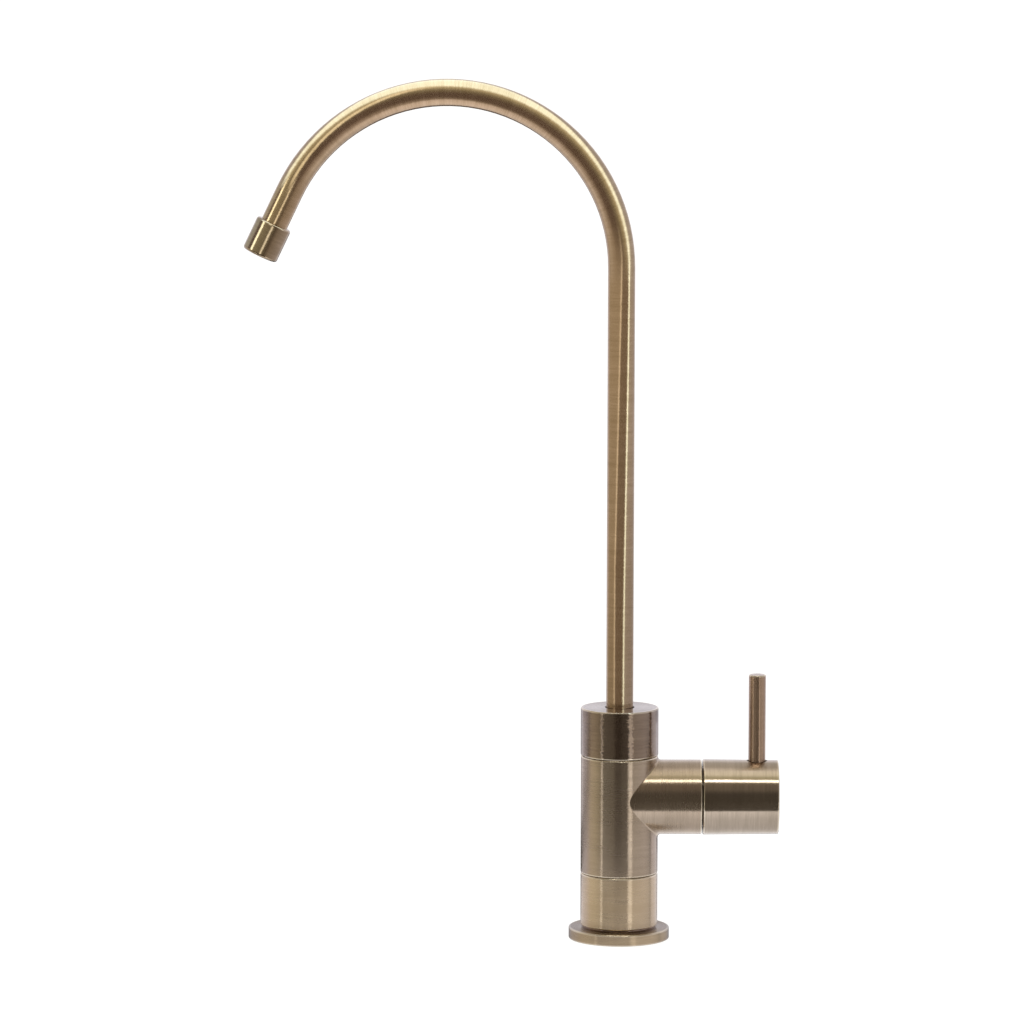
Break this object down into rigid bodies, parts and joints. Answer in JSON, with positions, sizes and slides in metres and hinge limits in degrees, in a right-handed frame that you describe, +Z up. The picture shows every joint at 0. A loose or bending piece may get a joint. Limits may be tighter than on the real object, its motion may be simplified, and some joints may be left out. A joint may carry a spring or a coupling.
{
  "type": "drinking water faucet",
  "caption": "Gooseneck drinking water tap with a round column on a flange, a side lever handle and a short cylindrical nozzle.",
  "frame": {"origin": "on the column's axis at the flange's underside, where the faucet stands on the deck", "axes": "+Z up along the column and the spout's swivel axis, +X out along the handle, so the spout reaches to -X at rest and -Y is the front"},
  "size_m": [0.1872, 0.0354, 0.3024],
  "materials": {
    "aged_brass": "brushed antique brass, dark brown, satin",
    "dark_brass": "dark patina in the recess",
    "golden_brass": "brushed antique brass, more golden, satin",
    "olive_brass": "antique brass, olive brown, semi-gloss",
    "plain_brass": "machined brass, not plated",
    "steel": "stainless steel",
    "rubber": "black rubber",
    "white_plastic": "white acetal",
    "ceramic": "lapped ceramic"
  },
  "bodies": {
    "base": {"base_flange": "aged_brass", "deck_seal": "rubber", "inlet_bush": "plain_brass", "inlet_seal": "rubber", "neck_ring": "dark_brass", "lower_collar": "golden_brass", "collar_rings": "rubber", "main_body": "aged_brass", "thrust_ring": "white_plastic", "swivel_bush": "white_plastic", "spout_nut": "aged_brass", "seat_seal": "rubber", "fixed_disc": "ceramic", "cartridge_housing": "plain_brass", "housing_seal": "rubber", "guide_ring": "white_plastic"},
    "handle": {"turning_disc": "ceramic", "cartridge_stem": "plain_brass", "stem_washer": "white_plastic", "stem_rings": "rubber", "stop_ring": "plain_brass", "stem_clip": "steel", "handle_hub": "aged_brass", "hub_screw": "steel", "lever_rod": "aged_brass"},
    "spout": {"spout_ferrule": "plain_brass", "spout_rings": "rubber", "spout_tube": "golden_brass", "nozzle_collar": "olive_brass", "nozzle_washer": "rubber", "flow_straightener": "white_plastic"}
  },
  "joints": [
    {"name": "handle_turn", "type": "hinge", "parent": "base", "child": "handle", "pos_m": [0.02885, 0, 0.0503], "axis": [1, 0, 0], "range_deg": [0, 90]},
    {"name": "spout_swivel", "type": "hinge", "parent": "base", "child": "spout", "pos_m": [0, 0, 0.0705], "axis": [0, 0, 1], "continuous": true}
  ]
}
